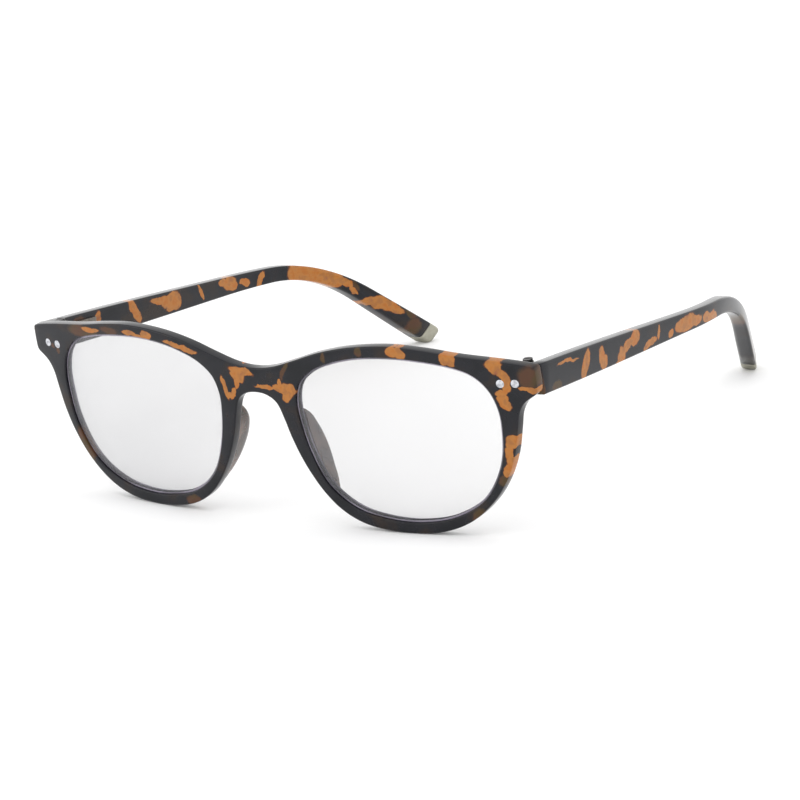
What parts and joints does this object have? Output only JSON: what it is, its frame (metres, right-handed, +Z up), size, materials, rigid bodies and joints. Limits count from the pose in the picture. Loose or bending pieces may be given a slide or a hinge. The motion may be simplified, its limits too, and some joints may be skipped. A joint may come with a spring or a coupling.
{
  "type": "folding reading glasses",
  "caption": "Wrapped round-rimmed reading glasses with a keyhole bridge, moulded nose pads and bent temples that fold in behind the front on pin hinges.",
  "frame": {"origin": "middle of the bounding box in X and Y, on the surface that the rims and temple tips stand on", "axes": "+X across the front towards the viewer's right, front faces -Y, temples run back along +Y when open, +Z up"},
  "size_m": [0.1388, 0.1354, 0.0436],
  "materials": {
    "tortoiseshell": "polished dark acetate with amber patches",
    "lens": "clear coated plastic",
    "nose_pad": "translucent grey-brown",
    "rivet": "polished silver",
    "hinge_metal": "dark gunmetal",
    "screw_steel": "blackened steel",
    "wire_steel": "drawn wire",
    "cap_metal": "polished pale champagne"
  },
  "bodies": {
    "front": {"front_frame": "tortoiseshell", "lens_left": "lens", "lens_right": "lens", "nose_pad_left": "nose_pad", "nose_pad_right": "nose_pad", "front_rivets_left": "rivet", "front_rivets_right": "rivet", "front_hinge_left": "hinge_metal", "front_hinge_right": "hinge_metal", "hinge_screw_left": "screw_steel", "hinge_screw_right": "screw_steel"},
    "temple_arm_left": {"temple_left": "tortoiseshell", "temple_hinge_left": "hinge_metal", "temple_rivets_left": "rivet", "core_wire_left": "wire_steel", "tip_cap_left": "cap_metal"},
    "temple_arm_right": {"temple_right": "tortoiseshell", "temple_hinge_right": "hinge_metal", "temple_rivets_right": "rivet", "core_wire_right": "wire_steel", "tip_cap_right": "cap_metal"}
  },
  "joints": [
    {"name": "left_temple_fold", "type": "hinge", "parent": "front", "child": "temple_arm_left", "pos_m": [-0.0648, -0.05466, 0.03611], "axis": [0, 0.0574, -0.9984], "range_deg": [0, 76]},
    {"name": "right_temple_fold", "type": "hinge", "parent": "front", "child": "temple_arm_right", "pos_m": [0.0648, -0.05466, 0.03611], "axis": [0, -0.0574, 0.9984], "range_deg": [0, 83]}
  ]
}
